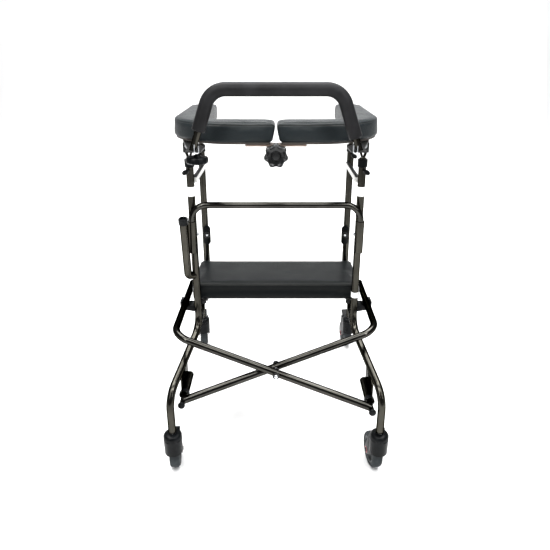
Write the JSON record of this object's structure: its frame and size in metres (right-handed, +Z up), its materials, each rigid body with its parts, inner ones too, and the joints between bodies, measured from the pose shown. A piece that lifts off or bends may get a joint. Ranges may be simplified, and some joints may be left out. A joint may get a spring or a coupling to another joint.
{
  "type": "folding forearm walker",
  "caption": "Folding forearm walker: padded horseshoe rest in two halves, push handle, flip-up seat, X brace with seat rails, cane holder and swivel casters.",
  "frame": {"origin": "on the floor, under the middle of the whole walker", "axes": "+Z up; -Y towards the closed front of the horseshoe and the push handle, as the picture sees it; +X to the right in the picture"},
  "size_m": [0.6576, 0.7805, 1.1],
  "materials": {
    "tube": "glossy dark bronze-grey metallic lacquer",
    "brace_tube": "glossy dark bronze-grey metallic lacquer, brighter streaks",
    "black_plastic": "satin moulded plastic",
    "black_steel": "black coated steel",
    "foam": "closed-cell foam tube with a fine matt skin",
    "vinyl": "blue-black upholstery vinyl, fine grain, soft sheen",
    "board": "dark plywood base",
    "strip_steel": "warm brown-grey plated steel",
    "white_bar": "white coated flat bar",
    "tyre_rubber": "dark grey tread",
    "hub_grey": "grey moulded wheel centre"
  },
  "bodies": {
    "left_frame": {"left_front_leg": "tube", "left_rear_leg": "tube", "left_side_bar": "white_bar", "left_rail_saddle": "black_plastic", "left_seat_bracket": "black_steel", "left_clip_plate": "black_plastic", "left_front_collar": "black_plastic", "left_rear_collar": "black_plastic", "cane_holder_tube": "tube", "cane_holder_cap": "black_plastic"},
    "right_frame": {"right_front_leg": "tube", "right_rear_leg": "tube", "right_side_bar": "white_bar", "right_rail_saddle": "black_plastic", "right_seat_bracket": "black_steel", "right_clip_plate": "black_plastic", "right_front_collar": "black_plastic", "right_rear_collar": "black_plastic"},
    "brace_a": {"brace_a": "brace_tube", "brace_a_end_cap": "black_plastic", "brace_bolt": "black_steel"},
    "brace_b": {"brace_b": "brace_tube", "brace_b_end_cap": "black_plastic"},
    "seat": {"seat_cushion": "vinyl", "seat_board": "board"},
    "crossbar": {"crossbar": "brace_tube"},
    "handle": {"handle_tube": "tube", "handle_foam": "foam"},
    "left_upper": {"left_front_riser": "tube", "left_hinge_bracket": "black_steel", "left_rear_riser": "tube"},
    "left_pad": {"left_pad_cushion": "vinyl", "left_pad_board": "board", "left_pad_strip": "strip_steel"},
    "left_front_caster": {"left_front_caster_fork": "black_plastic"},
    "left_front_wheel": {"left_front_tyre": "tyre_rubber", "left_front_wheel_hub": "hub_grey"},
    "left_front_thumb": {"left_front_thumb_knob": "black_plastic"},
    "left_rear_caster": {"left_rear_caster_fork": "black_plastic"},
    "left_rear_wheel": {"left_rear_tyre": "tyre_rubber", "left_rear_wheel_hub": "hub_grey"},
    "left_rear_thumb": {"left_rear_thumb_knob": "black_plastic"},
    "left_brake": {"left_brake_lever": "black_plastic"},
    "right_upper": {"right_front_riser": "tube", "right_hinge_bracket": "black_steel", "right_rear_riser": "tube"},
    "right_pad": {"right_pad_cushion": "vinyl", "right_pad_board": "board", "right_pad_strip": "strip_steel"},
    "right_front_caster": {"right_front_caster_fork": "black_plastic"},
    "right_front_wheel": {"right_front_tyre": "tyre_rubber", "right_front_wheel_hub": "hub_grey"},
    "right_front_thumb": {"right_front_thumb_knob": "black_plastic"},
    "right_rear_caster": {"right_rear_caster_fork": "black_plastic"},
    "right_rear_wheel": {"right_rear_tyre": "tyre_rubber", "right_rear_wheel_hub": "hub_grey"},
    "right_rear_thumb": {"right_rear_thumb_knob": "black_plastic"},
    "right_brake": {"right_brake_lever": "black_plastic"},
    "star_knob": {"star_knob": "black_plastic"},
    "disc_knob": {"disc_knob": "black_plastic"}
  },
  "joints": [
    {"name": "fold", "type": "hinge", "parent": "left_frame", "child": "brace_a", "pos_m": [-0.2675, -0.2648, 0.22], "axis": [0, -1, 0], "range_deg": [0, 40.5]},
    {"name": "brace_cross", "type": "hinge", "parent": "brace_a", "child": "brace_b", "pos_m": [0.0025, -0.2748, 0.29539], "axis": [0, -1, 0], "range_deg": [-81, 0]},
    {"name": "brace_foot", "type": "hinge", "parent": "brace_b", "child": "right_frame", "pos_m": [0.2725, -0.2948, 0.22], "axis": [0, -1, 0], "range_deg": [0, 40.5]},
    {"name": "seat_flip", "type": "hinge", "parent": "left_frame", "child": "seat", "pos_m": [-0.2245, 0.0112, 0.423], "axis": [0, -1, 0], "range_deg": [0, 81]},
    {"name": "left_pad_flip", "type": "hinge", "parent": "left_upper", "child": "left_pad", "pos_m": [-0.2435, 0.0112, 0.9225], "axis": [0, -1, 0], "range_deg": [0, 81]},
    {"name": "right_pad_flip", "type": "hinge", "parent": "right_upper", "child": "right_pad", "pos_m": [0.2485, 0.0112, 0.9225], "axis": [0, -1, 0], "range_deg": [-81, 0]},
    {"name": "left_height", "type": "slide", "parent": "left_frame", "child": "left_upper", "axis": [0, 0, 1], "range_m": [0, 0.15]},
    {"name": "right_height", "type": "slide", "parent": "right_frame", "child": "right_upper", "axis": [0, 0, 1], "range_m": [0, 0.15]},
    {"name": "crossbar_lift", "type": "slide", "parent": "left_frame", "child": "crossbar", "axis": [0, 0, 1], "range_m": [0, 0.06]},
    {"name": "handle_lift", "type": "slide", "parent": "left_upper", "child": "handle", "axis": [0, 0, 1], "range_m": [0, 0.06]},
    {"name": "star_knob_turn", "type": "hinge", "parent": "left_pad", "child": "star_knob", "pos_m": [0.0025, -0.2448, 0.9188], "axis": [0, 1, 0], "continuous": true},
    {"name": "disc_knob_turn", "type": "hinge", "parent": "left_upper", "child": "disc_knob", "pos_m": [-0.1965, -0.2598, 0.91], "axis": [0, 0, 1], "continuous": true},
    {"name": "left_front_thumb_turn", "type": "hinge", "parent": "left_frame", "child": "left_front_thumb", "pos_m": [-0.2435, -0.1068, 0.849], "axis": [-0.3697, -0.9292, 0], "continuous": true},
    {"name": "left_rear_thumb_turn", "type": "hinge", "parent": "left_frame", "child": "left_rear_thumb", "pos_m": [-0.2435, 0.1292, 0.849], "axis": [-0.3697, -0.9292, 0], "continuous": true},
    {"name": "left_front_swivel", "type": "hinge", "parent": "left_frame", "child": "left_front_caster", "pos_m": [-0.2935, -0.3638, 0.1455], "axis": [0, 0, 1], "continuous": true},
    {"name": "left_front_roll", "type": "hinge", "parent": "left_front_caster", "child": "left_front_wheel", "pos_m": [-0.29907, -0.32419, 0.0515], "axis": [0.9903, 0.1392, 0], "continuous": true},
    {"name": "left_rear_swivel", "type": "hinge", "parent": "left_frame", "child": "left_rear_caster", "pos_m": [-0.2975, 0.2982, 0.1455], "axis": [0, 0, 1], "continuous": true},
    {"name": "left_rear_roll", "type": "hinge", "parent": "left_rear_caster", "child": "left_rear_wheel", "pos_m": [-0.30307, 0.33781, 0.0515], "axis": [0.9903, 0.1392, 0], "continuous": true},
    {"name": "left_brake_press", "type": "hinge", "parent": "left_rear_caster", "child": "left_brake", "pos_m": [-0.30237, 0.33286, 0.131], "axis": [0.9903, 0.1392, 0], "range_deg": [-20, 0]},
    {"name": "right_front_thumb_turn", "type": "hinge", "parent": "right_frame", "child": "right_front_thumb", "pos_m": [0.2485, -0.1068, 0.849], "axis": [0.3697, -0.9292, 0], "continuous": true},
    {"name": "right_rear_thumb_turn", "type": "hinge", "parent": "right_frame", "child": "right_rear_thumb", "pos_m": [0.2485, 0.1292, 0.849], "axis": [0.3697, -0.9292, 0], "continuous": true},
    {"name": "right_front_swivel", "type": "hinge", "parent": "right_frame", "child": "right_front_caster", "pos_m": [0.2985, -0.3638, 0.1455], "axis": [0, 0, 1], "continuous": true},
    {"name": "right_front_roll", "type": "hinge", "parent": "right_front_caster", "child": "right_front_wheel", "pos_m": [0.29293, -0.32419, 0.0515], "axis": [0.9903, 0.1392, 0], "continuous": true},
    {"name": "right_rear_swivel", "type": "hinge", "parent": "right_frame", "child": "right_rear_caster", "pos_m": [0.3025, 0.2982, 0.1455], "axis": [0, 0, 1], "continuous": true},
    {"name": "right_rear_roll", "type": "hinge", "parent": "right_rear_caster", "child": "right_rear_wheel", "pos_m": [0.29693, 0.33781, 0.0515], "axis": [0.9903, 0.1392, 0], "continuous": true},
    {"name": "right_brake_press", "type": "hinge", "parent": "right_rear_caster", "child": "right_brake", "pos_m": [0.29763, 0.33286, 0.131], "axis": [0.9903, 0.1392, 0], "range_deg": [-20, 0]}
  ],
  "couplings": [
    {"joint": "brace_cross", "follows": "fold", "ratio": -2},
    {"joint": "brace_foot", "follows": "fold", "ratio": 1},
    {"joint": "seat_flip", "follows": "fold", "ratio": 2},
    {"joint": "left_pad_flip", "follows": "fold", "ratio": 2},
    {"joint": "right_pad_flip", "follows": "fold", "ratio": -2},
    {"joint": "right_height", "follows": "left_height", "ratio": 1}
  ]
}
